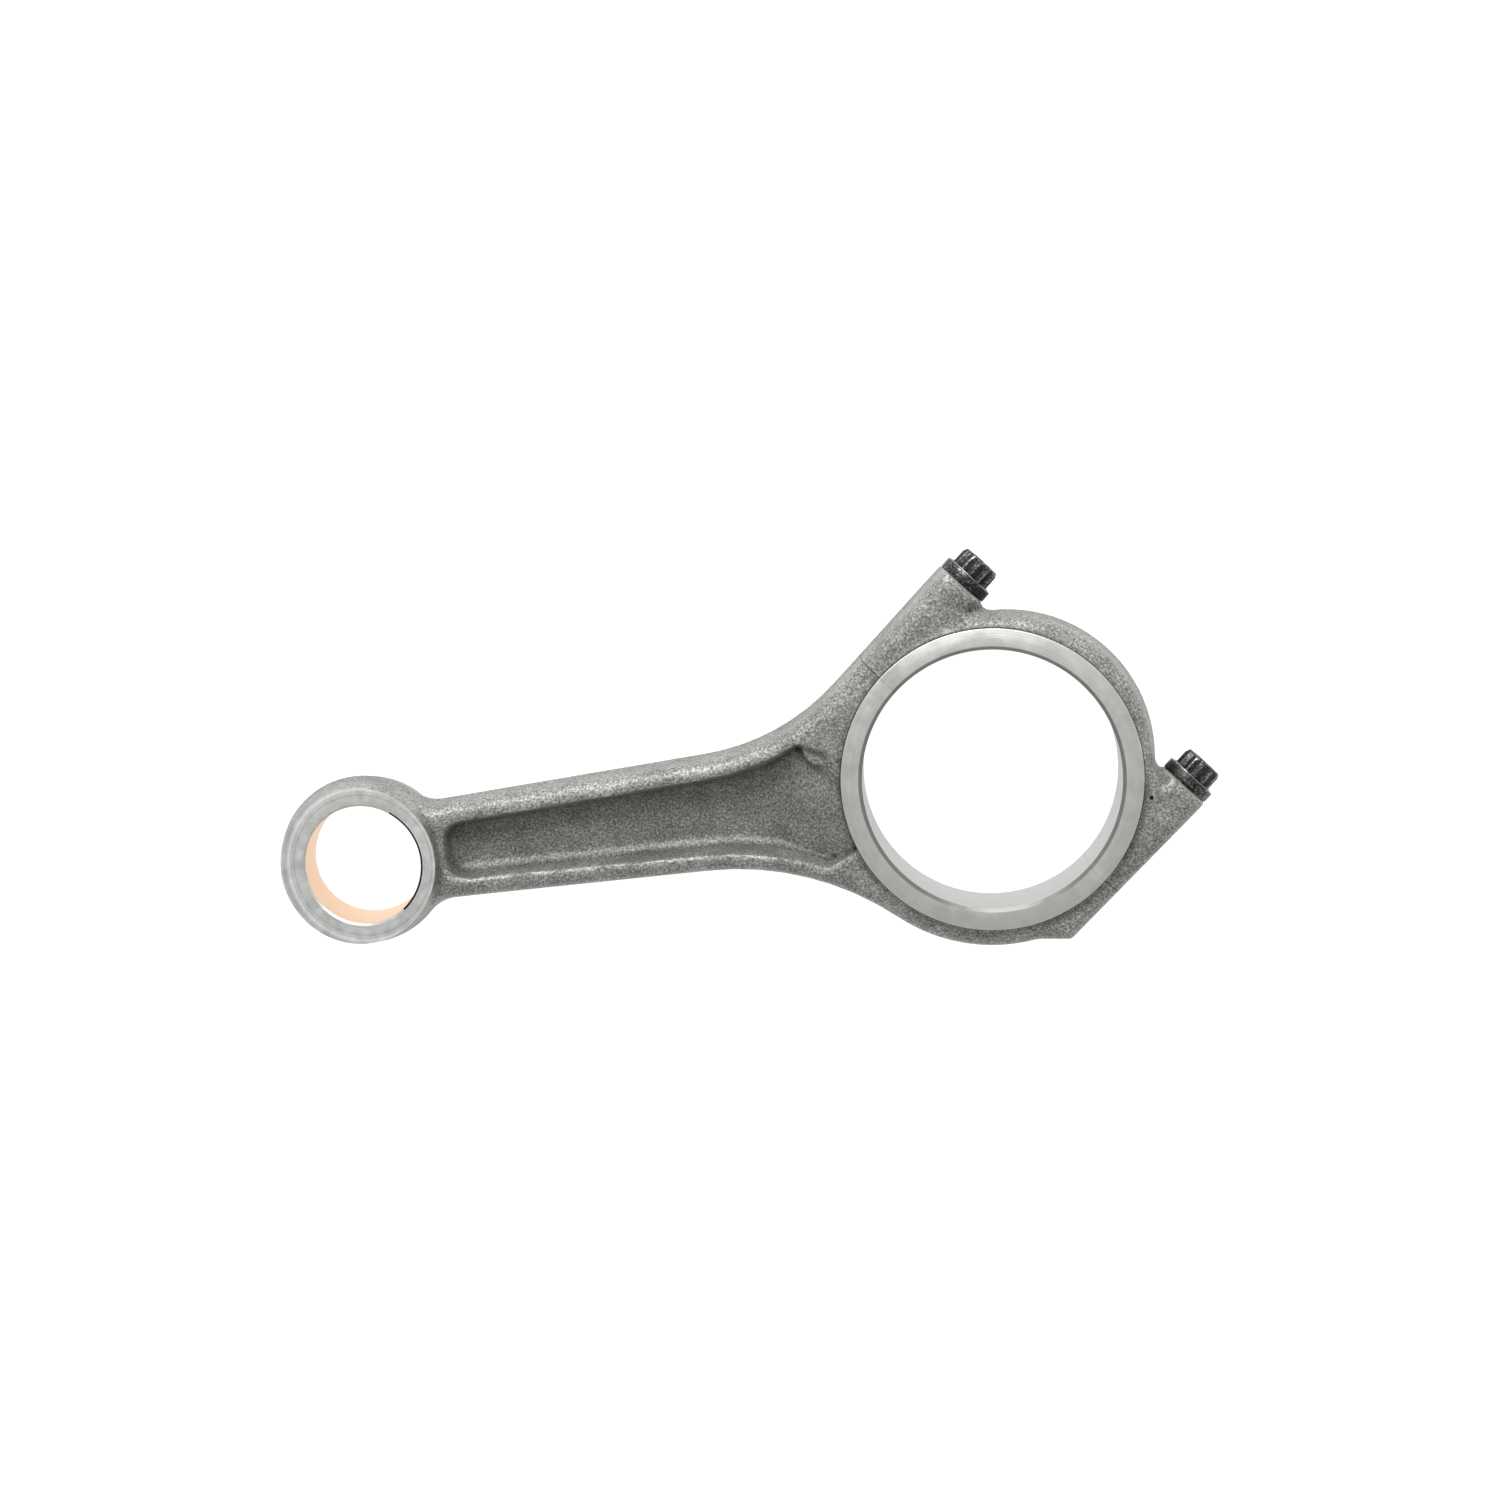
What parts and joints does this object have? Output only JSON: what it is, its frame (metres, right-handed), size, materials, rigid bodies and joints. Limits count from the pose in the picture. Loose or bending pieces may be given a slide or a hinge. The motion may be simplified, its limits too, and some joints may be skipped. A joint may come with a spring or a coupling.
{
  "type": "connecting rod",
  "caption": "Forged connecting rod with an obliquely split big end, a bolted bearing cap and a tapered, bronze-bushed small end.",
  "frame": {"origin": "middle of the rod's footprint, on the plane of the side faces that it lies on", "axes": "+X along the rod from the small end to the big end, +Y across it towards the upper bolt's ear, +Z along both bores; the bolts run 40 degrees from +X towards +Y"},
  "size_m": [0.3036, 0.1292, 0.038],
  "materials": {
    "forged_steel": "shot-peened forging with machined bores and side faces",
    "bush_bronze": "fine-bored bronze",
    "bolt_steel": "black oxide"
  },
  "bodies": {
    "rod": {"rod_forging": "forged_steel", "small_end_bush": "bush_bronze"},
    "cap": {"bearing_cap": "forged_steel"},
    "upper_bolt": {"upper_cap_bolt": "bolt_steel"},
    "lower_bolt": {"lower_cap_bolt": "bolt_steel"}
  },
  "joints": [
    {"name": "cap_lift", "type": "slide", "parent": "rod", "child": "cap", "axis": [0.766, 0.6428, 0], "range_m": [0, 0.05]},
    {"name": "upper_bolt_draw", "type": "slide", "parent": "cap", "child": "upper_bolt", "axis": [0.766, 0.6428, 0], "range_m": [0, 0.062]},
    {"name": "lower_bolt_draw", "type": "slide", "parent": "cap", "child": "lower_bolt", "axis": [0.766, 0.6428, 0], "range_m": [0, 0.062]}
  ]
}
